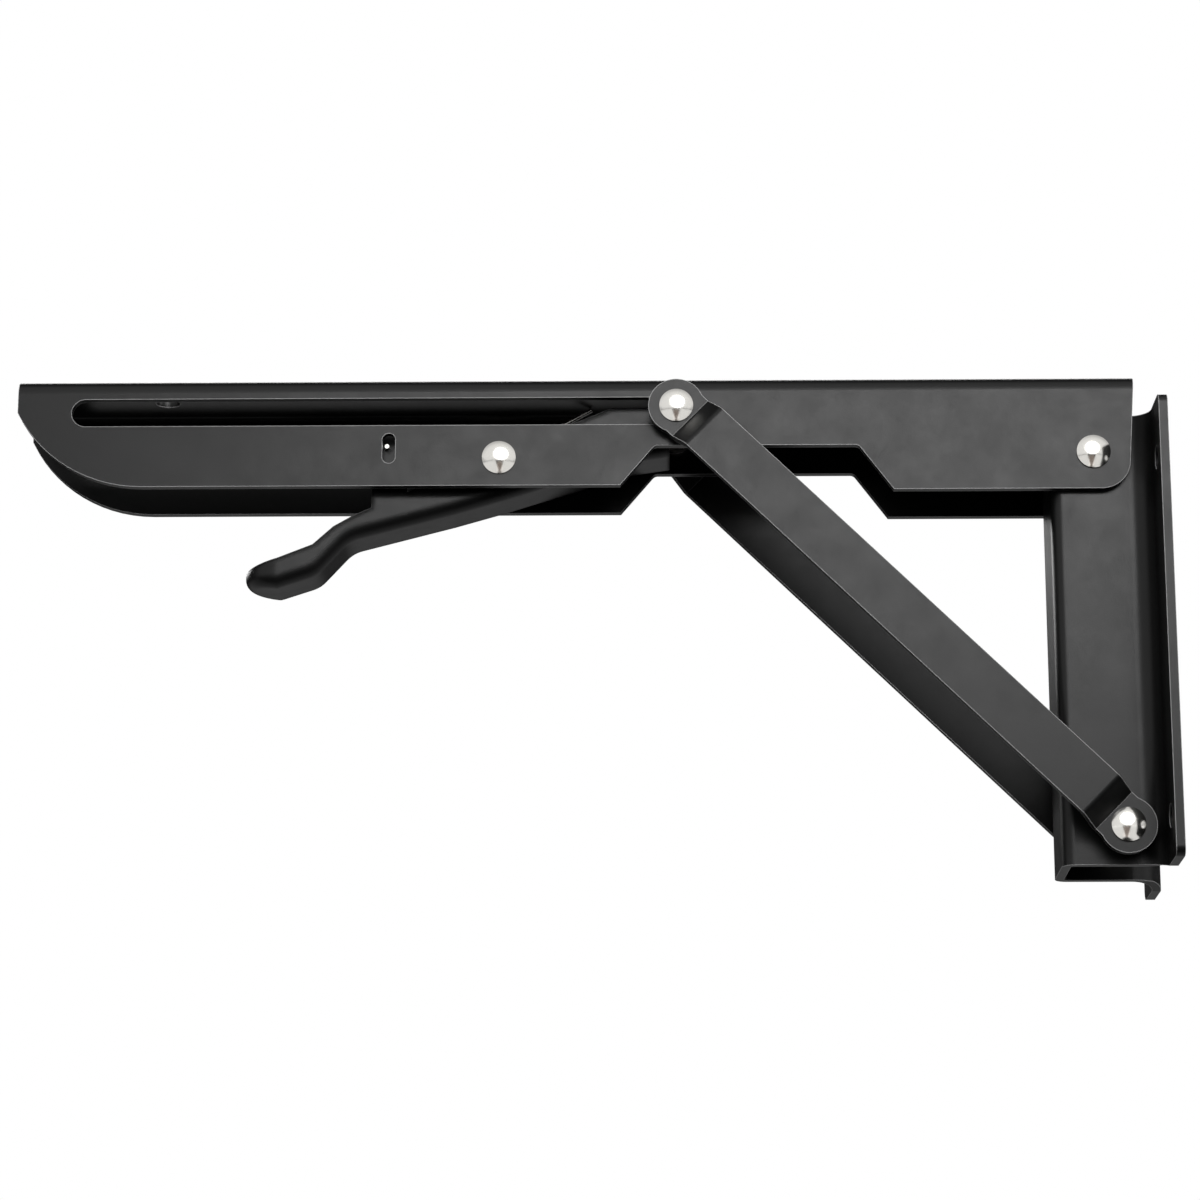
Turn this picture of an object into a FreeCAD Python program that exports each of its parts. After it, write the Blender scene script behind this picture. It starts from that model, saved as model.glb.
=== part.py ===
import FreeCAD, Part

import Sketcher
import math
import os
import re

# Folding shelf bracket that reaches 254 mm from the wall. Millimetres, +Z up, +X into the wall.
# The origin is on the wall, in the middle of the four wall screws. The arm points along -X,
# and the side that is seen first faces -Y. All sizes below are driving sizes.

SIZES = [
    ("arm_reach", 254.0, "wall to the tip of the arm"),
    ("arm_rear_gap", 5.2, "wall to the rear end of the arm's web"),
    ("arm_rear_rake", 1.8, "how far the rear end leans forward over the rear depth"),
    ("arm_width", 24.0, "across the outside of the arm's flanges"),
    ("arm_sheet", 2.0, "steel of the arm"),
    ("arm_bend", 3.4, "outside radius of the arm's two bends"),
    ("arm_top", 62.0, "height of the face that carries the shelf"),
    ("front_depth", 25.2, "depth of the flanges in front of the notch"),
    ("rear_depth", 26.4, "depth of the flanges behind the notch"),
    ("tip_face", 7.9, "height of the square face at the tip"),
    ("tip_round", 31.5, "radius under the tip"),
    ("rear_round", 6.5, "radius of the lower rear corner"),
    ("notch_front", 119.6, "wall to the front foot of the notch"),
    ("notch_rear", 59.0, "wall to the rear foot of the notch"),
    ("notch_slope", 7.7, "run of the notch's slanted sides"),
    ("notch_drop", 16.1, "top face to the roof of the notch"),
    ("slot_front", 12.1, "tip of the arm to the front end of the long slot"),
    ("slot_drop", 8.0, "top face to the middle of the long slot"),
    ("slot_width", 6.3, "height of the long slot"),
    ("window_reach", 171.0, "wall to the middle of the spring window"),
    ("window_drop", 16.5, "top face to the middle of the spring window"),
    ("window_height", 6.9, "height of the spring window"),
    ("window_width", 2.9, "width of the spring window"),
    ("shelf_hole_rear", 50.0, "wall to the rear shelf screw"),
    ("shelf_hole_front", 32.0, "tip of the arm to the front shelf screw"),
    ("shelf_hole", 5.5, "diameter of the shelf screw holes"),
    ("pivot_reach", 14.7, "wall to the arm's pivot"),
    ("pivot_drop", 18.0, "top face to the arm's pivot"),
    ("pin_reach", 107.1, "wall to the pin in the slot, bracket open"),
    ("strut_reach", 10.4, "wall to the strut's lower pivot"),
    ("strut_height", -40.9, "height of the strut's lower pivot"),
    ("lever_reach", 146.5, "wall to the lever's pivot"),
    ("lever_drop", 18.8, "top face to the lever's pivot"),
    ("plate_sheet", 2.0, "steel of the wall plate"),
    ("hat_depth", 24.2, "wall to the front of the wall plate"),
    ("side_gap", 0.2, "between the wall plate's side walls and the arm's flanges"),
    ("hat_bend", 2.8, "outside radius of the bends at the plate's front"),
    ("lip_bend", 5.0, "hollow radius between side wall and lip"),
    ("plate_span", 54.0, "across the two lips"),
    ("plate_top", 52.9, "height of the plate's upper edge"),
    ("hat_bottom", -48.6, "height of the side walls' lower edge"),
    ("lip_bottom", -49.8, "height of the lips' lower edge"),
    ("lip_round", 2.0, "radius of the corners of the lips"),
    ("wall_hole_rise", 80.0, "between upper and lower wall screws"),
    ("wall_hole_edge", 6.5, "edge of a lip to the middle of its wall screws"),
    ("wall_hole", 5.2, "diameter of the wall screw holes"),
    ("strip_sheet", 2.0, "steel of the strut strips"),
    ("strip_width", 11.4, "width of the strips"),
    ("eye_radius", 6.2, "radius of the strips' round ends"),
    ("strip_stand", 5.4, "arm's face to the inside of the strips between their ends"),
    ("joggle_start", 5.1, "eye centre to the start of the sideways step"),
    ("joggle_run", 4.0, "length of the sideways step along the strip"),
    ("joggle_bend", 1.6, "radius of the step's outside corners"),
    ("shank", 5.0, "diameter of the rivets"),
    ("head_width", 7.5, "diameter of the rivet heads"),
    ("head_rim", 0.4, "straight rim of a rivet head"),
    ("head_height", 1.6, "height of a rivet head with its rim"),
    ("fit", 0.05, "running clearance on the radius and beside each moving face"),
    ("bush_flange", 10.0, "diameter of the slot bushes' flanges"),
    ("bush_flange_thick", 1.6, "thickness of the slot bushes' flanges"),
    ("washer_width", 6.8, "diameter of the washers at the strut's lower pivot"),
    ("washer_thick", 3.85, "thickness of the washers at the strut's lower pivot"),
    ("sleeve_width", 8.4, "outside diameter of the two spacer sleeves in the wall plate"),
    ("lever_sleeve_width", 6.7, "outside diameter of the lever's sleeve"),
    ("lever_washer_width", 8.4, "outside diameter of the lever's two washers"),
    ("pin_inside", 1.4, "how far the slot pin reaches inside the arm's flange"),
    ("lever_width", 15.0, "across the outside of the lever"),
    ("lever_sheet", 1.8, "steel of the lever's walls"),
    ("lever_floor", 2.1, "lever's floor, measured upright"),
    ("lever_bend", 2.6, "outside radius along the lever's lower edges"),
    ("lever_end", 1.5, "how far the lever stops in front of the slot pin's centre"),
    ("catch_gap", 0.2, "between the slot pin and the catch face"),
    ("catch_height", 6.0, "height of the catch face"),
    ("nose_drop", 5.9, "top face to the flat top of the lever's nose"),
    ("nose_share", 0.305, "nose's flat top, as a share of the way from catch to pivot"),
    ("ramp_share", 0.26, "nose's ramp, as a share of the way from catch to pivot"),
    ("ramp_rise", 3.9, "height of the nose's ramp"),
    ("heel_drop", 16.6, "top face to the lever's floor at its rear end"),
    ("tab_tip", 203.3, "wall to the tip of the thumb tab"),
    ("tab_round", 7.5, "radius of the tab's end, seen from above"),
    ("tab_drop", 46.8, "top face to the lowest place of the tab"),
    ("crease", 7.0, "radius of the lever's creases, where the neck turns down to the tab"),
    ("lug_width", 8.0, "width of the lug that holds the spring's near leg"),
    ("lug_drop", 11.5, "top face to the top of the lug"),
    ("lug_foot", 11.7, "lever's pivot down to the foot of the lug, inside the lever's wall"),
    ("wire", 1.0, "diameter of the spring wire"),
    ("coil_radius", 3.98, "middle radius of the spring's coil"),
    ("coil_pitch", 1.15, "spacing of the spring's turns"),
    ("coil_turns", 6, "full turns in the spring, less the angle between its legs"),
    ("coil_side", 3.4, "middle plane to the coil's near end"),
    ("knee_bend", 0.8, "radius of the knee, along the middle of the wire"),
    ("leg_fall", 0.5, "degrees by which the near leg falls towards the tab"),
    ("leg_rise", 30, "degrees by which the far leg rises towards the wall"),
    ("leg_length", 25.1, "coil to the knee in the near leg"),
    ("leg_end", 1.3, "how far the near leg stands out of the lug"),
]

doc = FreeCAD.newDocument("folding_shelf_bracket")
sizes = doc.addObject("Spreadsheet::Sheet", "Sizes")
for row, (alias, number, meaning) in enumerate(SIZES, start=1):
    sizes.set("A%d" % row, alias)
    sizes.set("B%d" % row, str(number))
    sizes.set("C%d" % row, meaning)
    sizes.setAlias("B%d" % row, alias)
doc.recompute()
ALIASES = {alias for alias, number, meaning in SIZES}


def linked(text):
    """A formula of size names, written the way other objects read the sheet."""
    return re.sub(r"[a-z_]+", lambda word: "Sizes." + word.group() if word.group() in ALIASES
                  else word.group(), text)


def size(text):
    """The number that a formula of size names gives."""
    return float(sizes.evalExpression(text))


def vec(x, y, z=0.0):
    return FreeCAD.Vector(x, y, z)


# Derived places, as formulas of the sizes above
ARM_FACE = "arm_width / 2"
ARM_INSIDE = "(arm_width / 2 - arm_sheet)"
HAT_FACE = "(arm_width / 2 - arm_sheet - side_gap)"
HAT_INSIDE = "(arm_width / 2 - arm_sheet - side_gap - plate_sheet)"
UPPER_EYE = "(arm_width / 2 + bush_flange_thick + 2 * fit)"
LOWER_EYE = "(arm_width / 2 - arm_sheet - side_gap + washer_thick + fit)"
STRIP_BODY = "(arm_width / 2 + strip_stand)"
HOLE = "(shank + 2 * fit)"
PIVOT = ("-pivot_reach", "arm_top - pivot_drop")
LOWER_PIVOT = ("-strut_reach", "strut_height")
PIN = ("-pin_reach", "arm_top - slot_drop")
LEVER_PIVOT = ("-lever_reach", "arm_top - lever_drop")
LEG_KNEE = ("-lever_reach - coil_radius * sin(leg_fall) - leg_length * cos(leg_fall)",
            "arm_top - lever_drop + coil_radius * cos(leg_fall) - leg_length * sin(leg_fall)")
HEAD_DOME = "(head_height - head_rim)"
DOME_RADIUS = "((%s ^ 2 + (head_width / 2) ^ 2) / (2 * %s))" % (HEAD_DOME, HEAD_DOME)


# Sketch and feature helpers

def new_body(name):
    body = doc.addObject("PartDesign::Body", name)
    body.Label = name
    return body


def new_sketch(body, plane, name):
    sketch = body.newObject("Sketcher::SketchObject", name)
    support = next(item for item in body.Origin.OriginFeatures if item.Role == plane + "_Plane")
    sketch.AttachmentSupport = [(support, "")]
    sketch.MapMode = "FlatFace"
    return sketch


def bind(sketch, kind, geometry, point, text):
    """Hold one coordinate of a sketch point at the value of a formula."""
    index = sketch.addConstraint(Sketcher.Constraint(kind, -1, 1, geometry, point, size(text)))
    sketch.setExpression("Constraints[%d]" % index, linked(text))


def draw_path(sketch, path):
    """Draw one closed outline. Each entry is a corner (x, y) in formulas, or a corner followed by
    an arc to the next corner: (x, y, centre_x, centre_y, "left" or "right"). A formula that
    starts with ~ only says where to draw, because the arc there already holds the point."""
    corners = [(size(corner[0].lstrip("~")), size(corner[1].lstrip("~"))) for corner in path]
    ends = []
    first = sketch.GeometryCount
    for number, corner in enumerate(path):
        start = corners[number]
        finish = corners[(number + 1) % len(path)]
        if len(corner) == 2:
            sketch.addGeometry(Part.LineSegment(vec(*start), vec(*finish)))
            ends.append((1, 2))
            continue
        centre = (size(corner[2]), size(corner[3]))
        radius = math.hypot(start[0] - centre[0], start[1] - centre[1])
        start_angle = math.atan2(start[1] - centre[1], start[0] - centre[0])
        finish_angle = math.atan2(finish[1] - centre[1], finish[0] - centre[0])
        circle = Part.Circle(vec(*centre), vec(0, 0, 1), radius)
        if corner[4] == "left":
            sketch.addGeometry(Part.ArcOfCircle(circle, start_angle, finish_angle))
            ends.append((1, 2))
        else:
            sketch.addGeometry(Part.ArcOfCircle(circle, finish_angle, start_angle))
            ends.append((2, 1))
    for number in range(len(path)):
        after = (number + 1) % len(path)
        sketch.addConstraint(Sketcher.Constraint(
            "Coincident", first + number, ends[number][1], first + after, ends[after][0]))
    for number, corner in enumerate(path):
        if not corner[0].startswith("~"):
            bind(sketch, "DistanceX", first + number, ends[number][0], corner[0])
        if not corner[1].startswith("~"):
            bind(sketch, "DistanceY", first + number, ends[number][0], corner[1])
        if len(corner) == 5:
            bind(sketch, "DistanceX", first + number, 3, corner[2])
            bind(sketch, "DistanceY", first + number, 3, corner[3])


def outline(body, plane, name, *paths):
    sketch = new_sketch(body, plane, name)
    for path in paths:
        draw_path(sketch, path)
    return sketch


def round_holes(body, plane, name, places, diameter):
    """One circle at each place (x, y), all of one diameter."""
    sketch = new_sketch(body, plane, name)
    for x, y in places:
        centre = vec(size(x), size(y))
        index = sketch.addGeometry(Part.Circle(centre, vec(0, 0, 1), size(diameter) / 2))
        bind(sketch, "DistanceX", index, 3, x)
        bind(sketch, "DistanceY", index, 3, y)
        held = sketch.addConstraint(Sketcher.Constraint("Diameter", index, size(diameter)))
        sketch.setExpression("Constraints[%d]" % held, linked(diameter))
    return sketch


def long_hole(x_from, x_to, y, width):
    """A slot along the sketch's x direction, between two end centres."""
    above = "%s + (%s) / 2" % (y, width)
    below = "%s - (%s) / 2" % (y, width)
    return [(x_to, "~" + above), (x_from, above, x_from, y, "left"), (x_from, "~" + below),
            (x_to, below, x_to, y, "left")]


def tall_hole(x, y_from, y_to, width):
    """A slot along the sketch's y direction, between two end centres."""
    right = "%s + (%s) / 2" % (x, width)
    left = "%s - (%s) / 2" % (x, width)
    return [("~" + right, y_from), (right, y_to, x, y_to, "left"), ("~" + left, y_to),
            (left, y_from, x, y_from, "left")]


def across(side, text):
    """A formula across the bracket, on the near side ("-") or the far side ("")."""
    return "%s(%s)" % (side, text)


def pad(body, sketch, length, both_ways=False, backwards=False):
    feature = body.newObject("PartDesign::Pad", sketch.Name + "_pad")
    feature.Profile = sketch
    feature.setExpression("Length", linked(length))
    feature.SideType = "Symmetric" if both_ways else "One side"
    feature.Reversed = backwards
    sketch.Visibility = False
    doc.recompute()
    return feature


def cut_through(body, sketch):
    """Cut the sketch through the whole piece, to both sides of its plane."""
    before = body.Shape.Volume
    feature = body.newObject("PartDesign::Pocket", sketch.Name + "_cut")
    feature.Profile = sketch
    feature.Type = "ThroughAll"
    feature.SideType = "Symmetric"
    sketch.Visibility = False
    doc.recompute()
    check_less(body, before, feature.Name)
    return feature


def cut_deep(body, sketch, length, backwards=False, both_ways=False):
    """Cut to a depth: behind the sketch's plane, in front of it or evenly to both sides."""
    before = body.Shape.Volume
    feature = body.newObject("PartDesign::Pocket", sketch.Name + "_cut")
    feature.Profile = sketch
    feature.Type = "Length"
    feature.setExpression("Length", linked(length))
    feature.SideType = "Symmetric" if both_ways else "One side"
    feature.Reversed = backwards
    sketch.Visibility = False
    doc.recompute()
    check_less(body, before, feature.Name)
    return feature


def check_less(body, before, name):
    if not body.Shape.Volume < before - 0.01:
        raise RuntimeError(name + " cut nothing")


def round_edges(body, radius, name, wanted):
    """Fillet each edge for which wanted(edge) holds."""
    base = body.Tip
    names = ["Edge%d" % (number + 1) for number, edge in enumerate(base.Shape.Edges)
             if wanted(edge)]
    if not names:
        raise RuntimeError(name + " found no edge")
    feature = body.newObject("PartDesign::Fillet", name)
    feature.Base = (base, names)
    feature.setExpression("Radius", linked(radius))
    doc.recompute()
    if "Invalid" in feature.State:
        raise RuntimeError(name + " failed")
    return feature


def runs_along(edge, axis, *values):
    """A straight edge along one axis, whose other two coordinates are the given ones."""
    if edge.Curve.TypeId != "Part::GeomLine":
        return False
    start, finish = edge.Vertexes[0].Point, edge.Vertexes[-1].Point
    others = [item for item in (0, 1, 2) if item != axis]
    straight = all(abs(start[item] - finish[item]) < 1e-4 for item in others)
    return straight and all(abs(abs(start[item]) - abs(value)) < 1e-3
                            for item, value in zip(others, values))


def turned(name, profile, places):
    """Pieces turned about an axis along Y. profile is a closed outline of (radius, y) formulas,
    and places are the (x, z) of each axis."""
    body = new_body(name)
    x, z = places
    sketch = outline(body, "XY", name + "_profile", profile)
    feature = body.newObject("PartDesign::Revolution", name + "_turned")
    feature.Profile = sketch
    feature.ReferenceAxis = (sketch, ["V_Axis"])
    feature.Angle = 360.0
    sketch.Visibility = False
    body.setExpression("Placement.Base.x", linked(x))
    body.setExpression("Placement.Base.z", linked(z))
    doc.recompute()
    return body


def ring(name, place, bore, outside, y_from, y_to):
    """A plain ring between two planes across Y."""
    inner = "(%s) / 2" % bore
    outer = "(%s) / 2" % outside
    profile = [(inner, y_from), (outer, y_from), (outer, y_to), (inner, y_to)]
    return turned(name, profile, place)


def rivet(name, place, grip):
    """A rivet with a domed head at both ends. grip is the half length between its heads."""
    grip = "(%s)" % grip
    rim = "%s + head_rim" % grip
    top = "%s + head_height" % grip
    profile = [
        ("0", "-(%s)" % top, "0", "%s - (%s)" % (DOME_RADIUS, top), "left"),
        ("head_width / 2", "~-(%s)" % rim),
        ("head_width / 2", "-%s" % grip),
        ("shank / 2", "-%s" % grip),
        ("shank / 2", grip),
        ("head_width / 2", grip),
        ("head_width / 2", rim, "0", "%s - %s" % (top, DOME_RADIUS), "left"),
        ("0", "~" + top),
    ]
    return turned(name, profile, place)


# Shelf arm: one bent sheet, an upside-down channel

def shelf_arm():
    body = new_body("shelf_arm")
    half, inside = ARM_FACE, ARM_INSIDE
    foot = "arm_top - rear_depth"
    section = outline(body, "YZ", "arm_section", [
        ("-(%s)" % half, foot), ("-" + inside, foot), ("-" + inside, "arm_top - arm_sheet"),
        (inside, "arm_top - arm_sheet"), (inside, foot), (half, foot),
        (half, "arm_top"), ("-(%s)" % half, "arm_top")])
    section.setExpression("AttachmentOffset.Base.z", linked("-arm_reach"))
    pad(body, section, "arm_reach - arm_rear_gap")
    top, face = size("arm_top"), size(half)
    round_edges(body, "arm_bend", "arm_outer_bends", lambda edge: runs_along(edge, 0, face, top))
    under, within = size("arm_top - arm_sheet"), size(inside)
    round_edges(body, "arm_bend - arm_sheet", "arm_inner_bends",
                lambda edge: runs_along(edge, 0, within, under))

    tip_centre_x = "sqrt(tip_round ^ 2 - (tip_round - front_depth + tip_face) ^ 2) - arm_reach"
    front_foot = "arm_top - front_depth"
    below = "arm_top - rear_depth - 5"
    nose = [("-arm_reach", "arm_top - tip_face", tip_centre_x, "arm_top - front_depth + tip_round",
             "left"), (tip_centre_x, "~" + front_foot), ("-notch_front", front_foot),
            ("-notch_front", below),
            ("-arm_reach - 5", below), ("-arm_reach - 5", "arm_top - tip_face")]
    cut_through(body, outline(body, "XZ", "arm_nose", nose))
    roof = "arm_top - notch_drop"
    notch = [("-notch_front", below), ("-notch_front", front_foot),
             ("notch_slope - notch_front", roof),
             ("-notch_rear - notch_slope", roof), ("-notch_rear", foot), ("-notch_rear", below)]
    cut_through(body, outline(body, "XZ", "arm_notch", notch))
    rake = [("-arm_rear_gap", "arm_top"), ("-arm_rear_gap + 1", "arm_top"),
            ("-arm_rear_gap + 1", below), ("-arm_rear_gap - arm_rear_rake", below),
            ("-arm_rear_gap - arm_rear_rake", foot)]
    cut_through(body, outline(body, "XZ", "arm_rear_end", rake))
    corner_x = size("arm_rear_gap + arm_rear_rake")
    corner_z = size(foot)
    round_edges(body, "rear_round", "arm_rear_corner",
                lambda edge: runs_along(edge, 1, corner_x, corner_z))
    roof_z = size(roof)
    roof_ends = [size("notch_front - notch_slope"), size("notch_rear + notch_slope")]
    round_edges(body, "arm_sheet * 0.75", "arm_notch_corners", lambda edge: any(
        runs_along(edge, 1, end, roof_z) for end in roof_ends))

    slot = long_hole("slot_width / 2 + slot_front - arm_reach", "fit - pin_reach",
                     "arm_top - slot_drop", "slot_width")
    cut_through(body, outline(body, "XZ", "arm_slot", slot))
    half_window = "(window_height - window_width) / 2"
    window = tall_hole("-window_reach", "arm_top - window_drop - %s" % half_window,
                       "arm_top - window_drop + %s" % half_window, "window_width")
    cut_deep(body, outline(body, "XZ", "arm_window", window), "arm_width", backwards=True)
    cut_through(body, round_holes(body, "XZ", "arm_pivots", [PIVOT, LEVER_PIVOT], HOLE))
    screws = [("-shelf_hole_rear", "0"), ("shelf_hole_front - arm_reach", "0")]
    cut_through(body, round_holes(body, "XY", "arm_shelf_screws", screws, "shelf_hole"))
    return body


# Wall plate: one bent sheet with a hat section, open to the wall

def wall_plate():
    body = new_body("wall_plate")
    span = "plate_span / 2"
    section = outline(body, "XY", "plate_section", [
        ("0", "-(%s)" % span), ("0", "-%s" % HAT_INSIDE),
        ("plate_sheet - hat_depth", "-%s" % HAT_INSIDE), ("plate_sheet - hat_depth", HAT_INSIDE),
        ("0", HAT_INSIDE), ("0", span), ("-plate_sheet", span), ("-plate_sheet", HAT_FACE),
        ("-hat_depth", HAT_FACE), ("-hat_depth", "-%s" % HAT_FACE),
        ("-plate_sheet", "-%s" % HAT_FACE), ("-plate_sheet", "-(%s)" % span)])
    section.setExpression("AttachmentOffset.Base.z", linked("lip_bottom"))
    pad(body, section, "plate_top - lip_bottom")
    sheet, depth = size("plate_sheet"), size("hat_depth")
    face, inside = size(HAT_FACE), size(HAT_INSIDE)
    round_edges(body, "hat_bend", "plate_front_outside", lambda edge: runs_along(edge, 2, depth, face))
    round_edges(body, "hat_bend - plate_sheet", "plate_front_inside",
                lambda edge: runs_along(edge, 2, depth - sheet, inside))
    round_edges(body, "lip_bend", "plate_lip_hollow", lambda edge: runs_along(edge, 2, sheet, face))
    round_edges(body, "lip_bend + plate_sheet", "plate_lip_back",
                lambda edge: runs_along(edge, 2, 0.0, inside))

    slope_from = "%s + lip_bend" % HAT_FACE
    under = "lip_bottom - 5"
    hat_foot = [("-(%s)" % HAT_FACE, "hat_bottom"), ("-(%s)" % slope_from, "lip_bottom"),
                ("-(%s)" % slope_from, under), (slope_from, under), (slope_from, "lip_bottom"),
                (HAT_FACE, "hat_bottom")]
    cut_through(body, outline(body, "YZ", "plate_foot", hat_foot))
    lip_y = size(span)
    lip_ends = [size("plate_top"), size("lip_bottom")]
    round_edges(body, "lip_round", "plate_lip_corners", lambda edge: any(
        runs_along(edge, 0, lip_y, end) for end in lip_ends))

    cut_through(body, round_holes(body, "XZ", "plate_pivots", [PIVOT, LOWER_PIVOT], HOLE))
    screws = []
    for side in ("", "-"):
        for level in ("", "-"):
            screws.append((across(side, "plate_span / 2 - wall_hole_edge"),
                           level + "wall_hole_rise / 2"))
    wall_holes = round_holes(body, "YZ", "plate_wall_screws", screws, "wall_hole")
    cut_deep(body, wall_holes, "lip_bend", both_ways=True)
    return body


# Strut: two flat strips, one on each side, stepped inwards at both ends to seat on the pivots

def strut_strip(name, side):
    body = new_body(name)
    run_x, run_z = "(pin_reach - strut_reach)", "(arm_top - slot_drop - strut_height)"
    length = "sqrt(%s ^ 2 + %s ^ 2)" % (run_x, run_z)
    half = "strip_width / 2"
    shoulder = "sqrt(eye_radius ^ 2 - (strip_width / 2) ^ 2)"
    far = "(%s)" % length
    shape = [(shoulder, half, "0", "0", "left"), (shoulder, "~-(%s)" % half),
             ("%s - %s" % (far, shoulder), "-(%s)" % half, far, "0", "left"),
             ("%s - %s" % (far, shoulder), "~" + half)]
    plate = outline(body, "XZ", name + "_outline", shape)
    pad(body, plate, "2 * (%s + strip_sheet)" % STRIP_BODY, both_ways=True)

    def step(rise):
        """How far the outside of a step is shifted along the strip, for an even thickness."""
        return "strip_sheet * (sqrt(joggle_run ^ 2 + %s ^ 2) - joggle_run) / %s" % (rise, rise)

    low_rise = "(%s - %s)" % (STRIP_BODY, LOWER_EYE)
    high_rise = "(%s - %s)" % (STRIP_BODY, UPPER_EYE)
    low_from, low_to = "joggle_start", "joggle_start + joggle_run"
    high_to, high_from = "%s - joggle_start - joggle_run" % far, "%s - joggle_start" % far
    behind, beyond = "-2 * eye_radius", "%s + 2 * eye_radius" % far

    def on_side(level):
        return across(side, level)

    other_side = "-%s - 2 * strip_sheet" % STRIP_BODY
    inner = [(behind, on_side(LOWER_EYE)), (low_from, on_side(LOWER_EYE)),
             (low_to, on_side(STRIP_BODY)), (high_to, on_side(STRIP_BODY)),
             (high_from, on_side(UPPER_EYE)), (beyond, on_side(UPPER_EYE)),
             (beyond, on_side(other_side)), (behind, on_side(other_side))]
    cut_through(body, outline(body, "XY", name + "_inner_side", inner))
    low_shift, high_shift = step(low_rise), step(high_rise)
    outer_low = "%s + strip_sheet" % LOWER_EYE
    outer_body = "%s + strip_sheet" % STRIP_BODY
    outer_high = "%s + strip_sheet" % UPPER_EYE
    clear = "%s + 3 * strip_sheet" % STRIP_BODY
    outer = [(behind, on_side(outer_low)), ("%s - %s" % (low_from, low_shift), on_side(outer_low)),
             ("%s - %s" % (low_to, low_shift), on_side(outer_body)),
             ("%s - %s" % (low_to, low_shift), on_side(clear)), (behind, on_side(clear))]
    cut_through(body, outline(body, "XY", name + "_low_step", outer))
    outer = [(beyond, on_side(outer_high)),
             ("%s + %s" % (high_from, high_shift), on_side(outer_high)),
             ("%s + %s" % (high_to, high_shift), on_side(outer_body)),
             ("%s + %s" % (high_to, high_shift), on_side(clear)), (beyond, on_side(clear))]
    cut_through(body, outline(body, "XY", name + "_high_step", outer))
    bends = [(size("%s - %s" % (low_to, low_shift)), size(outer_body)),
             (size("%s + %s" % (high_to, high_shift)), size(outer_body)),
             (size(low_from), size(LOWER_EYE)), (size(high_from), size(UPPER_EYE))]
    round_edges(body, "joggle_bend", name + "_bends", lambda edge: any(
        runs_along(edge, 2, x, y) for x, y in bends))
    cut_through(body, round_holes(body, "XZ", name + "_holes", [("0", "0"), (far, "0")], HOLE))

    turn = math.degrees(math.atan2(size(run_z), size("0 - " + run_x)))
    place = vec(size(LOWER_PIVOT[0]), 0.0, size(LOWER_PIVOT[1]))
    body.Placement = FreeCAD.Placement(place, FreeCAD.Rotation(vec(0, -1, 0), turn))
    return body


# Release lever: pressed channel with a nose at one end and a scooped thumb tab at the other

# The floor's underside and the walls' rims in side view. Each place is a share of the way along
# and a drop, as a share of the tab's drop below the face that carries the shelf. On the rear half
# the way goes from the catch end to the pivot, on the front half from the pivot to the tab's tip.
REAR_FLOOR = [(0.0, 0.355), (0.264, 0.387), (0.567, 0.466), (0.976, 0.571)]
FRONT_FLOOR = [(0.178, 0.639), (0.585, 0.768), (0.713, 0.938)]
FRONT_RIM = [(0.73, 0.797), (0.65, 0.709), (0.574, 0.656), (0.361, 0.541), (0.097, 0.363)]
REAR_RIM = [(1.0, 0.295), (0.749, 0.265)]
TIP_FLOOR, TIP_RIM, TAB_RIM = 0.985, 0.91, 0.863


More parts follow.
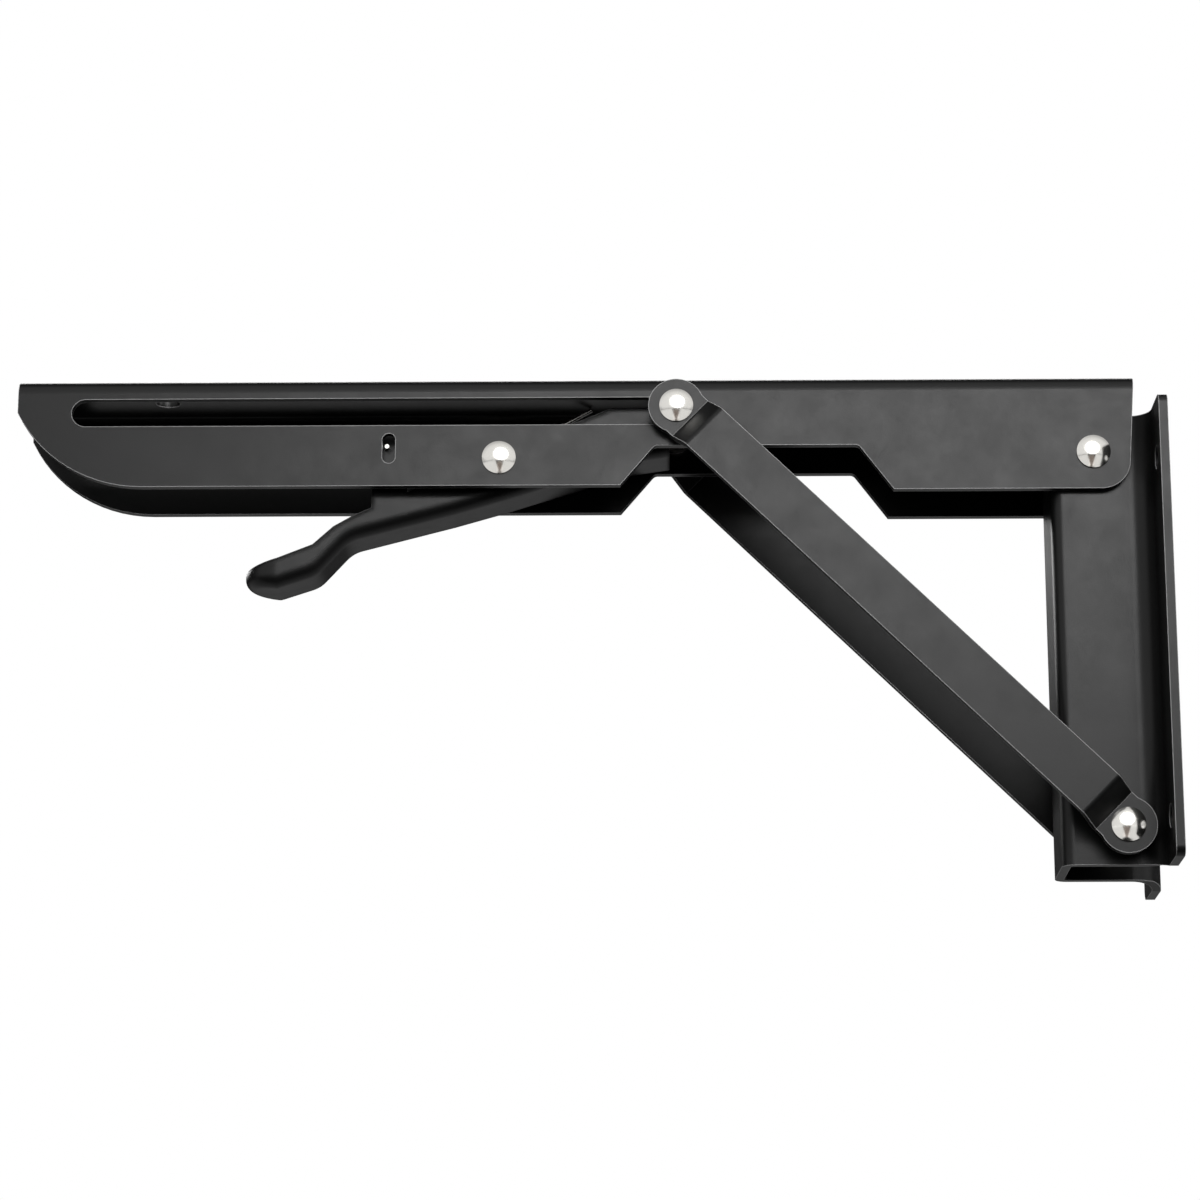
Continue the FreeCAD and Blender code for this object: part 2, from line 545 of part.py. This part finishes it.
def release_lever():
    end = "(lever_end + pin_reach)"
    catch = "(pin_reach + slot_width / 2 + catch_gap)"
    nose = "arm_top - nose_drop"
    ledge = "%s - catch_height" % nose

    def rear(share):
        return "-%s - %s * (lever_reach - %s)" % (end, share, end)

    def front(share):
        return "-lever_reach - %s * (tab_tip - lever_reach)" % share

    def down(share):
        return "arm_top - %s * tab_drop" % share

    floor = [(rear(way), down(drop)) for way, drop in REAR_FLOOR]
    floor += [(front(way), down(drop)) for way, drop in FRONT_FLOOR]
    floor += [("tab_round - tab_tip", down(1)), ("-tab_tip", down(TIP_FLOOR))]
    flat_end = "-%s - nose_share * (lever_reach - %s)" % (catch, catch)
    ramp_end = "-%s - (nose_share + ramp_share) * (lever_reach - %s)" % (catch, catch)
    rim = [("-tab_tip", down(TIP_RIM)), ("tab_round - tab_tip", down(TAB_RIM))]
    rim += [(front(way), down(drop)) for way, drop in FRONT_RIM]
    rim += [(rear(way), down(drop)) for way, drop in REAR_RIM]
    rim += [(ramp_end, "%s - ramp_rise" % nose), (flat_end, nose), ("-" + catch, nose),
            ("-" + catch, ledge), ("-" + end, ledge)]

    def form(name, inset, side):
        """The lever's solid form, smaller by the inset at its sides, with rounded lower edges."""
        body = new_body(name)
        pad(body, outline(body, "XZ", name + "_side", side), "lever_width - 2 * %s" % inset,
            both_ways=True)
        centre = "tab_round - tab_tip"
        radius = "(tab_round - %s)" % inset
        plan = [(centre, radius, centre, "0", "left"), (centre, "~-" + radius),
                (centre, "-tab_round - 5"), ("-tab_tip - 5", "-tab_round - 5"),
                ("-tab_tip - 5", "tab_round + 5"), (centre, "tab_round + 5")]
        cut_through(body, outline(body, "XY", name + "_tab_end", plan))
        line = [(size(x), size(z)) for x, z in side[:len(floor)]]
        half, middle = size("lever_width / 2 - " + inset), size(centre)
        turns = [(x, z) for x, z in line[1:-2]]
        round_edges(body, "crease", name + "_creases", lambda edge: any(
            runs_along(edge, 1, x, z) for x, z in turns))

        def height_over_floor(point):
            for (x1, z1), (x2, z2) in zip(line, line[1:]):
                if x2 - 1e-3 <= point.x <= x1 + 1e-3:
                    return point.z - z1 - (z2 - z1) * (point.x - x1) / (x2 - x1)
            return 1e9

        def lower_edge(edge):
            first, last = edge.ParameterRange
            spots = [edge.valueAt(first + (last - first) * part / 4) for part in range(5)]
            low = all(abs(height_over_floor(spot)) < size("lever_floor / 3") for spot in spots)
            side_wall = all(abs(abs(spot.y) - half) < 1e-3 for spot in spots)
            lengthwise = abs(spots[0].x - spots[-1].x) > 1e-3
            return low and lengthwise and (side_wall or spots[2].x < middle)

        round_edges(body, "lever_bend - %s" % inset, name + "_lower_bends", lower_edge)
        return body

    raised = [(x, "%s + lever_floor" % z) for x, z in floor]
    above = [("-tab_tip", "arm_top"), ("-" + end, "arm_top")]
    body = form("release_lever", "0", floor + rim)
    hollow = form("lever_hollow", "lever_sheet", raised + above)
    cut = body.newObject("PartDesign::Boolean", "lever_hollow_cut")
    cut.setObjects([hollow])
    cut.Type = "Cut"
    doc.recompute()
    cut_through(body, round_holes(body, "XZ", "lever_hole", [LEVER_PIVOT], HOLE))

    lug_foot, lug_top = "arm_top - lever_drop - lug_foot", "arm_top - lug_drop"
    lug_edges = ["-window_reach - lug_width / 2", "-window_reach + lug_width / 2"]
    lug = outline(body, "XZ", "lever_lug", [
        (lug_edges[0], lug_foot), (lug_edges[1], lug_foot), (lug_edges[1], lug_top),
        (lug_edges[0], lug_top)])
    lug.setExpression("AttachmentOffset.Base.z", linked("lever_width / 2 - lever_sheet"))
    pad(body, lug, "lever_sheet")
    corner_x = [size(edge) for edge in lug_edges]
    corner_z = size(lug_top)
    round_edges(body, "lug_width / 3", "lever_lug_corners", lambda edge: any(
        runs_along(edge, 1, x, corner_z) for x in corner_x))
    leg_hole = round_holes(body, "XZ", "lever_leg_hole", [LEG_KNEE], "wire + 4 * fit")
    cut_deep(body, leg_hole, "lever_width", backwards=True)
    return body


# Torsion spring round the lever's sleeve. Its near leg hooks into the lever's lug and its far leg
# bears on the underside of the arm.

def bent_leg(start, knee, foot, radius, bend):
    """A round bar that goes straight from start to the knee and bends there to the foot."""
    way = knee - start
    way.normalize()
    onward = foot - knee
    onward.normalize()
    half_turn = way.getAngle(onward) / 2
    inwards = onward - way
    inwards.normalize()
    before = knee - way * (bend * math.tan(half_turn))
    after = knee + onward * (bend * math.tan(half_turn))
    middle = knee + inwards * (bend / math.cos(half_turn) - bend)
    path = Part.Wire([Part.makeLine(start, before), Part.Arc(before, middle, after).toShape(),
                      Part.makeLine(after, foot)])
    rim = Part.Wire(Part.makeCircle(radius, start, way))
    return path.makePipeShell([rim], True, False)


def return_spring():
    radius, wire = size("coil_radius"), size("wire")
    axis = vec(size(LEVER_PIVOT[0]), 0, size(LEVER_PIVOT[1]))
    first = math.radians(90.0 + size("leg_fall"))
    last = math.radians(90.0 + size("leg_rise"))
    turns = size("coil_turns") - (last - first) / (2 * math.pi)
    pitch = size("coil_pitch")
    near_y = -size("coil_side")
    far_y = near_y + pitch * turns
    sideways = pitch / (2 * math.pi * radius)

    coil = Part.Wire(Part.makeHelix(pitch, pitch * turns, radius))
    rim = Part.Wire(Part.makeCircle(wire / 2, vec(radius, 0, 0), vec(0, 1, sideways)))
    coil = coil.makePipeShell([rim], True, True)
    out, along = vec(math.cos(first), 0, math.sin(first)), vec(0, 1, 0)
    coil.Placement = FreeCAD.Placement(
        axis + along * near_y, FreeCAD.Rotation(out, along.cross(out), along, "ZXY"))

    near_start = axis + out * radius + along * near_y
    slope = vec(-math.sin(first), -sideways, math.cos(first))
    knee = near_start + slope * size("leg_length")
    foot = vec(knee.x, -size("lever_width / 2 + leg_end"), knee.z)
    near_leg = bent_leg(near_start, knee, foot, wire / 2, size("knee_bend"))

    far_start = axis + vec(math.cos(last), 0, math.sin(last)) * radius + along * far_y
    far_way = vec(math.sin(last), sideways, -math.cos(last))
    far_way.normalize()
    rise = size("arm_top - arm_sheet") - wire / 2 - far_start.z
    far_leg = Part.makeCylinder(wire / 2, rise / far_way.z, far_start, far_way)
    spring = doc.addObject("Part::Feature", "lever_return_spring")
    spring.Label = "lever_return_spring"
    spring.Shape = coil.fuse([near_leg, far_leg])
    return spring


bodies = [shelf_arm(), wall_plate(), strut_strip("strut_near", "-"), strut_strip("strut_far", ""),
          release_lever(), return_spring()]

lower_outside = "%s + strip_sheet + fit" % LOWER_EYE
lever_inside = "(lever_width / 2 - lever_sheet - fit)"
bodies.append(rivet("arm_pivot_rivet", PIVOT, ARM_FACE + " + fit"))
bodies.append(rivet("lever_pivot_rivet", LEVER_PIVOT, ARM_FACE))
bodies.append(rivet("strut_pivot_rivet", LOWER_PIVOT, lower_outside))
bodies.append(ring("arm_pivot_sleeve", PIVOT, "shank", "sleeve_width", "-" + HAT_INSIDE, HAT_INSIDE))
bodies.append(ring("strut_pivot_sleeve", LOWER_PIVOT, "shank", "sleeve_width",
                   "-" + HAT_INSIDE, HAT_INSIDE))
bodies.append(ring("lever_pivot_sleeve", LEVER_PIVOT, "shank", "lever_sleeve_width",
                   "-" + lever_inside, lever_inside))


def washers(name, side):
    """The washer at the strut's lower pivot and the one at the lever's pivot, on one side."""
    strut = ring("strut_pivot_washer_" + name, LOWER_PIVOT, "shank", "washer_width",
                 across(side, HAT_FACE), across(side, HAT_FACE + " + washer_thick"))
    lever = ring("lever_pivot_washer_" + name, LEVER_PIVOT, "shank", "lever_washer_width",
                 across(side, "lever_width / 2 + fit"), across(side, ARM_INSIDE))
    return [strut, lever]


def slot_pin_end(name, side):
    """One end of the slot pin: a flanged bush in the slot and the rivet that holds the strip."""
    inner_end = across(side, ARM_INSIDE + " - pin_inside")
    flange = across(side, ARM_FACE + " + fit")
    flange_face = across(side, ARM_FACE + " + fit + bush_flange_thick")
    bush = turned("slot_bush_" + name, [
        ("0", inner_end), ("slot_width / 2 - fit", inner_end), ("slot_width / 2 - fit", flange),
        ("bush_flange / 2", flange), ("bush_flange / 2", flange_face), ("0", flange_face)], PIN)
    seat = UPPER_EYE + " + strip_sheet"
    crown = seat + " + head_height"
    turn_way = "right" if side else "left"
    cap = turned("slot_rivet_" + name, [
        ("0", across(side, UPPER_EYE)), ("shank / 2", across(side, UPPER_EYE)),
        ("shank / 2", across(side, seat)), ("head_width / 2", across(side, seat)),
        ("head_width / 2", across(side, seat + " + head_rim"),
         "0", across(side, "%s - %s" % (crown, DOME_RADIUS)), turn_way),
        ("0", "~" + across(side, crown))], PIN)
    return [bush, cap]


for side_name, side_sign in (("near", "-"), ("far", "")):
    bodies += washers(side_name, side_sign)
    bodies += slot_pin_end(side_name, side_sign)

for item in doc.Objects:
    if "Invalid" in item.State or "Error" in item.State:
        raise RuntimeError(item.Label + " failed: " + str(item.State))

os.makedirs("parts", exist_ok=True)
for body in bodies:
    shape = body.Shape
    if shape.isNull() or not shape.isValid():
        raise RuntimeError(body.Label + " has no valid solid")
    shape.exportStep("parts/%s.step" % body.Label)
    print("%-24s %8.1f mm3  %d solid" % (body.Label, shape.Volume, len(shape.Solids)))
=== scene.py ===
# %% [markdown]
# # A folding shelf bracket, dressed for its picture
#
# The shapes of this bracket come ready made from the CAD model, which loads below as the frame.
# What is left for Blender is what the eye reads as real: a camera in the right place, soft light
# with a few crisp reflections, and a finish for each metal. Blender works in metres here, and the
# frame's axes are kept: +Z up, +X into the wall, and -Y towards the viewer.

# %% Load the frame
import math

import bpy
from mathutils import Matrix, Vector

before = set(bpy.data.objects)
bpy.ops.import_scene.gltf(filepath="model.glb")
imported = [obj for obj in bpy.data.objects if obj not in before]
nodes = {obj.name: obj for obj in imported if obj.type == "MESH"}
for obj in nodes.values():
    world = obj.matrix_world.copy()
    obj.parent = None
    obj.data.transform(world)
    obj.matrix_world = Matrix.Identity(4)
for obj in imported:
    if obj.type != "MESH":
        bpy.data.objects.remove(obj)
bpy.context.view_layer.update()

MM = 0.001


print("pieces from the CAD model:", len(nodes))

# %% [markdown]
# ## Camera
#
# The picture is taken from below and near the middle of the bracket's length, with a long lens,
# so a band of the far flange shows under the near one. An orthographic camera would come close,
# but it wouldn't shrink the far lip at all. So this one keeps its perspective and stands 0.8 m
# away. Its place, tilt and lens were fitted to the outline of the bracket in the photograph.

# %% Camera
SENSOR_MM = 36.0
IMAGE_PX = 1200
FOCAL_PX = 3771.0
CAMERA_MM = (-112.4, -811.7, -204.5)
LOOKS_UP_DEG = 15.04
TURNED_DEG = 0.834

camera_data = bpy.data.cameras.new("camera")
camera_data.sensor_width = SENSOR_MM
camera_data.lens = SENSOR_MM * FOCAL_PX / IMAGE_PX
camera = bpy.data.objects.new("camera", camera_data)
bpy.context.scene.collection.objects.link(camera)
camera.location = Vector(CAMERA_MM) * MM
camera.rotation_euler = (math.radians(90 + LOOKS_UP_DEG), 0, math.radians(TURNED_DEG))
bpy.context.scene.camera = camera
print("lens in mm:", round(camera_data.lens, 1))

# %% [markdown]
# ## Colours and a helper for nodes
#
# Colours are easier to compare with a picture as sRGB hex values, but a shader adds and
# multiplies light, so it wants them linear. One function does that step for every colour here.
# Another adds a shader node with its settings and its links in one line.


# %% Helpers
def linear(hex_colour):
    """A hex colour such as "#3c3c3d" as the four linear numbers that a shader socket takes."""
    parts = [int(hex_colour[start:start + 2], 16) / 255 for start in (1, 3, 5)]
    return [part / 12.92 if part <= 0.04045 else ((part + 0.055) / 1.055) ** 2.4
            for part in parts] + [1.0]


def add_node(tree, kind, settings=None, **inputs):
    """Adds a shader node. An input is a number, a colour or the output socket that feeds it.

    Inputs go by name, with _ for a space, or by number where a node has two of one name."""
    node = tree.nodes.new(kind)
    for name, value in (settings or {}).items():
        setattr(node, name, value)
    for name, value in inputs.items():
        by_number = name[1:].isdigit()
        socket = node.inputs[int(name[1:]) if by_number else name.replace("_", " ")]
        if isinstance(value, bpy.types.NodeSocket):
            tree.links.new(value, socket)
        else:
            socket.default_value = value
    return node


def new_material(name):
    """An empty material and its node tree, with only the output left in it."""
    material = bpy.data.materials.new(name)
    material.use_nodes = True
    tree = material.node_tree
    for node in list(tree.nodes):
        if node.type != "OUTPUT_MATERIAL":
            tree.nodes.remove(node)
    return material, tree, tree.nodes["Material Output"]


COAT_BLACK = "#101010"
print("black of the coat:", [round(part, 4) for part in linear(COAT_BLACK)])

# %% [markdown]
# ## Black powder coat
#
# The bent sheet pieces are mild steel under a black polyester powder coat. The powder is sprayed
# dry and melted in an oven, where it flows out almost flat and keeps a faint orange peel with
# waves of about 1.5 mm. Its real grain is finer than the picture can show, so it is drawn at
# 0.22 mm. The coat is a plastic skin, so the shader stays a dielectric with an IOR of 1.45, and a
# middling roughness gives the broad grey sheen of the flat faces. That roughness changes a little
# in slow patches, which keeps a large face from looking printed.
#
# Cut edges of sheet are never quite sharp, so they catch a fine bright line. Here that line is a
# painted highlight: the Bevel node gives a rounded normal near an edge without changing the
# shape, its dot product with the flat normal falls from 1 towards the edge, and that paints a
# paler colour.
# The pressed lever has soft creases, so its whole shading uses a wider rounded normal.

# %% Black powder coat
ORANGE_PEEL_MM = 1.5
ORANGE_PEEL_DEPTH_MM = 0.02
POWDER_GRAIN_MM = 0.22
POWDER_GRAIN_DEPTH_MM = 0.015
PATCH_MM = 7.0
# Width and limits of the painted highlight that pales the base colour along every edge.
PAINTED_HIGHLIGHT_MM = 0.32
PAINTED_HIGHLIGHT_STARTS, PAINTED_HIGHLIGHT_FULL = 0.99, 0.80
BEVEL_SAMPLES = 6
COAT_IOR = 1.45
COAT_ROUGHNESS = 0.34
ROUGHNESS_SWING = 0.035
NOISE_LOW, NOISE_HIGH = 0.3, 0.7


def powder_coat(name, edge_highlight_colour, crease_mm=0.0):
    """The coat on sheet. With crease_mm, all its edges are shaded as rounded by that radius."""
    material, tree, output = new_material(name)
    place = add_node(tree, "ShaderNodeTexCoord").outputs["Object"]
    patches = add_node(tree, "ShaderNodeTexNoise", Vector=place, Scale=1 / (PATCH_MM * MM),
                       Detail=5.0, Roughness=0.7)
    waves = add_node(tree, "ShaderNodeTexNoise", Vector=place,
                     Scale=1 / (ORANGE_PEEL_MM * MM), Detail=1.0)
    grain = add_node(tree, "ShaderNodeTexNoise", Vector=place,
                     Scale=1 / (POWDER_GRAIN_MM * MM), Detail=1.0)
    rough = add_node(tree, "ShaderNodeMapRange", Value=patches.outputs["Fac"],
                     From_Min=NOISE_LOW, From_Max=NOISE_HIGH,
                     To_Min=COAT_ROUGHNESS - ROUGHNESS_SWING,
                     To_Max=COAT_ROUGHNESS + ROUGHNESS_SWING)

    shape = add_node(tree, "ShaderNodeNewGeometry").outputs["Normal"]
    # Painted highlight: a paler base colour near each edge stands in for the light a rounded edge
    # catches.
    rounded = add_node(tree, "ShaderNodeBevel", {"samples": BEVEL_SAMPLES}, Radius=PAINTED_HIGHLIGHT_MM * MM)
    along = add_node(tree, "ShaderNodeVectorMath", {"operation": "DOT_PRODUCT"}, _0=shape,
                     _1=rounded.outputs["Normal"])
    painted_highlight_mask = add_node(tree, "ShaderNodeMapRange", Value=along.outputs["Value"],
                    From_Min=PAINTED_HIGHLIGHT_STARTS, From_Max=PAINTED_HIGHLIGHT_FULL)
    colour = add_node(tree, "ShaderNodeMix", {"data_type": "RGBA"},
                      Factor=painted_highlight_mask.outputs["Result"], _6=linear(COAT_BLACK),
                      _7=linear(edge_highlight_colour))

    if crease_mm:
        shape = add_node(tree, "ShaderNodeBevel", {"samples": BEVEL_SAMPLES},
                         Radius=crease_mm * MM).outputs["Normal"]
    peel = add_node(tree, "ShaderNodeBump", Strength=0.25,
                    Distance=ORANGE_PEEL_DEPTH_MM * MM, Height=waves.outputs["Fac"], Normal=shape)
    powder = add_node(tree, "ShaderNodeBump", Strength=0.5,
                      Distance=POWDER_GRAIN_DEPTH_MM * MM, Height=grain.outputs["Fac"],
                      Normal=peel.outputs["Normal"])
    shader = add_node(tree, "ShaderNodeBsdfPrincipled", Base_Color=colour.outputs[2],
                      Roughness=rough.outputs["Result"], IOR=COAT_IOR,
                      Normal=powder.outputs["Normal"])
    tree.links.new(shader.outputs["BSDF"], output.inputs["Surface"])
    return material


# The second colour is the painted edge highlight, dimmer on the lever.
black_coat = powder_coat("black powder coat", "#b8b8b8")
pressed_coat = powder_coat("black powder coat on the pressed lever", "#6c6c6c", 1.8)
print("made", black_coat.name, "and", pressed_coat.name)

# %% [markdown]
# ## Bright rivets, plain steel and spring wire
#
# The rivets are nickel plated. Their heads are formed cold under a spinning die, which leaves a
# smooth dome, and the plating is almost a mirror, so the eye reads them by what they reflect.
# Plain turned steel, for the sleeves, washers and bushes, is duller and shows its turning marks
# more. The spring wire is drawn through a die, so its marks are fine and only soften its shine.
# All three are metals: full metallic, with the colour of the metal as the base and the default
# IOR. A slow haze in the roughness stands for handling in the workshop, and fine noise for marks.

# %% Metals
HAZE_MM = 1.2
HAZE_LOW, HAZE_HIGH = 0.8, 1.25
MARK_DEPTH_MM = 0.01


def worked_metal(name, hex_colour, roughness, mark_mm, mark_strength):
    """A bare or plated metal with fine marks of one size."""
    material, tree, output = new_material(name)
    place = add_node(tree, "ShaderNodeTexCoord").outputs["Object"]
    haze = add_node(tree, "ShaderNodeTexNoise", Vector=place, Scale=1 / (HAZE_MM * MM),
                    Detail=2.0)
    rough = add_node(tree, "ShaderNodeMapRange", Value=haze.outputs["Fac"],
                     From_Min=NOISE_LOW, From_Max=NOISE_HIGH,
                     To_Min=roughness * HAZE_LOW, To_Max=roughness * HAZE_HIGH)
    marks = add_node(tree, "ShaderNodeTexNoise", Vector=place, Scale=1 / (mark_mm * MM),
                     Detail=2.0)
    bump = add_node(tree, "ShaderNodeBump", Strength=mark_strength, Distance=MARK_DEPTH_MM * MM,
                    Height=marks.outputs["Fac"])
    shader = add_node(tree, "ShaderNodeBsdfPrincipled", Base_Color=linear(hex_colour),
                      Metallic=1.0, Roughness=rough.outputs["Result"],
                      Normal=bump.outputs["Normal"])
    tree.links.new(shader.outputs["BSDF"], output.inputs["Surface"])
    return material


nickel = worked_metal("nickel plated rivet", "#d9d7d2", 0.16, 0.4, 0.15)
turned_steel = worked_metal("plain turned steel", "#a9a8a6", 0.32, 0.3, 0.4)
spring_wire = worked_metal("drawn spring wire", "#c9c8c4", 0.25, 0.2, 0.2)
print("made", nickel.name, "and", turned_steel.name, "and", spring_wire.name)

# %% [markdown]
# ## Which piece gets which finish
#
# The names of the pieces say what they are, so they also say what they are made of. All that is
# bent or pressed from sheet is coated, the rivets are plated, and what turns on them is plain.

# %% Give each piece its finish
FINISHES = {"wall_plate": black_coat, "shelf_arm": black_coat, "strut_near": black_coat,
            "strut_far": black_coat, "release_lever": pressed_coat,
            "lever_return_spring": spring_wire}

for name, piece in nodes.items():
    finish = FINISHES.get(name, nickel if "rivet" in name else turned_steel)
    piece.data.materials.clear()
    piece.data.materials.append(finish)
    print(name, "->", finish.name)

# %% [markdown]
# ## White page and dark room
#
# The bracket floats on a white page, yet its hollows and undersides are nearly black: the page
# glows only where the camera looks straight at it. All other rays see the photographer's room,
# which is softly grey in front of the bracket and dark behind it and below it. That keeps black
# steel black where it mirrors the far side at a low angle. A patch of pale floor behind the
# bracket lights its lowest faces a little.
#
# Each level is a smooth step along one axis of the ray's direction, and the steps are multiplied
# or the brighter one of two is taken.

# %% World
FRONT_WHITE = 0.6
BACK_GREY = 0.006
FLOOR_WHITE = 0.30
BELOW = 0.03
STEPS = {"front to back": ("Y", -0.45, 0.10, FRONT_WHITE, BACK_GREY),
         "below to above": ("Z", -0.06, 0.06, BELOW, 1.0),
         "horizon to floor": ("Z", -0.08, -0.22, 0.0, FLOOR_WHITE),
         "front to floor": ("Y", -0.30, -0.05, 0.0, 1.0)}

world = bpy.data.worlds.new("dark room behind a white page")
world.use_nodes = True
bpy.context.scene.world = world
sky = world.node_tree
sky.nodes.clear()
way = add_node(sky, "ShaderNodeTexCoord").outputs["Generated"]
axes = add_node(sky, "ShaderNodeSeparateXYZ", Vector=way).outputs
level = {}
for step, (axis, start, finish, low, high) in STEPS.items():
    level[step] = add_node(sky, "ShaderNodeMapRange", {"interpolation_type": "SMOOTHSTEP"},
                           Value=axes[axis], From_Min=start, From_Max=finish, To_Min=low,
                           To_Max=high).outputs["Result"]
walls = add_node(sky, "ShaderNodeMath", {"operation": "MULTIPLY"}, _0=level["front to back"],
                 _1=level["below to above"]).outputs[0]
floor = add_node(sky, "ShaderNodeMath", {"operation": "MULTIPLY"}, _0=level["horizon to floor"],
                 _1=level["front to floor"]).outputs[0]
brighter = add_node(sky, "ShaderNodeMath", {"operation": "MAXIMUM"}, _0=walls, _1=floor)
room = add_node(sky, "ShaderNodeBackground", Color=linear("#ffffff"),
                Strength=brighter.outputs[0])
page = add_node(sky, "ShaderNodeBackground", Color=linear("#ffffff"), Strength=1.0)
rays = add_node(sky, "ShaderNodeLightPath").outputs
seen = add_node(sky, "ShaderNodeMixShader", _0=rays["Is Camera Ray"], _1=room.outputs[0],
                _2=page.outputs[0])
add_node(sky, "ShaderNodeOutputWorld", Surface=seen.outputs[0])
print("room:", FRONT_WHITE, "in front and", BACK_GREY, "behind")

# %% [markdown]
# ## Lamps for the whole bracket
#
# A large soft panel above the camera and to its right lights everything, and a smaller one behind
# draws the upper edges. Both are area lamps. The key panel is hidden from reflections, because
# the cards below do that part.

# %% Panels
MIDDLE = (-0.11, 0.0, 0.0)


def soft_panel(name, place, width, height, power):
    """An area lamp in metres and watts that faces the middle of the bracket."""
    light = bpy.data.lights.new(name, "AREA")
    light.shape = "RECTANGLE"
    light.size, light.size_y = width, height
    light.energy = power
    lamp = bpy.data.objects.new(name, light)
    bpy.context.scene.collection.objects.link(lamp)
    lamp.location = place
    lamp.rotation_euler = (Vector(MIDDLE) - Vector(place)).to_track_quat("-Z", "Y").to_euler()
    return lamp


key = soft_panel("key panel", (0.3, -1.2, 1.2), 1.1, 0.8, 26)
key.visible_glossy = False
rim = soft_panel("rim panel", (-0.1, 1.2, 1.0), 1.2, 0.5, 6)
print("panels:", key.name, "and", rim.name)

# %% [markdown]
# ## Cards for the coat and the rivets
#
# A photographer of black and mirror-bright metal lights what the metal reflects, with cards held
# up for one face at a time. Light linking does the same here: a card is an area lamp a metre away
# that lights one collection of pieces only.
#
# The coat shows one low strip of light, a little to the right, as a sheen that fades towards the
# lower left. The far strip stands in the near one's shade, so its strip is weaker. The rivets
# show a round lamp high up, pale cards left and right, and a brown-grey one between them, which
# draws the dark neck under the white spot. The cards behind serve the views from the back.

# %% Cards
metal = bpy.data.collections.new("rivets, plain steel and spring wire")
coated = bpy.data.collections.new("coated pieces")
lit = bpy.data.collections.new("coated pieces in full light")
shaded = bpy.data.collections.new("far strip in the near strip's shade")
for name, piece in nodes.items():
    if piece.active_material not in (black_coat, pressed_coat):
        metal.objects.link(piece)
        continue
    coated.objects.link(piece)
    (shaded if name == "strut_far" else lit).objects.link(piece)

# Name, turn from the front and height in degrees, width and height in metres, brightness where
# 1 is a white card, colour, and the pieces that it lights.
CARDS = (
    ("round lamp", 5, 28, 0.98, 0.98, 2.2, "#ffffff", metal),
    ("left card", -42, -25, 1.1, 0.95, 0.95, "#ffffff", metal),
    ("right card", 42, -25, 1.1, 0.95, 0.95, "#ffffff", metal),
    ("top card", 0, 50, 4.0, 2.2, 0.4, "#ffffff", metal),
    ("middle card", 0, -24, 0.42, 0.75, 0.9, "#8d8078", metal),
    ("card behind", 180, 30, 1.0, 0.6, 1.5, "#ffffff", metal),
    ("sheen strip", 9, 20, 0.66, 0.17, 7.4, "#ffffff", lit),
    ("sheen strip in the shade", 9, 20, 0.66, 0.17, 1.9, "#ffffff", shaded),
    ("right strip behind", 140, 24, 0.7, 0.25, 5.0, "#ffffff", coated),
    ("left strip behind", 215, 24, 0.7, 0.25, 5.0, "#ffffff", coated),
    ("side strip", 80, 24, 0.5, 0.25, 3.0, "#ffffff", coated))

for name, turn_deg, height_deg, width, height, white, hex_colour, lit_pieces in CARDS:
    turn, rise = math.radians(turn_deg), math.radians(height_deg)
    one_metre = Vector((math.sin(turn) * math.cos(rise), -math.cos(turn) * math.cos(rise),
                        math.sin(rise)))
    lamp = soft_panel(name, Vector(MIDDLE) + one_metre, width, height,
                      white * math.pi * width * height)
    if name == "round lamp":
        lamp.data.shape = "DISK"
        lamp.data.energy *= math.pi / 4  # a disk covers this share of its square
    lamp.data.color = linear(hex_colour)[:3]
    lamp.light_linking.receiver_collection = lit_pieces
print("cards:", [card[0] for card in CARDS])

# %% [markdown]
# ## True colours
#
# The Standard view shows a colour as it is written, without a film curve.

# %% View
bpy.context.scene.view_settings.view_transform = "Standard"
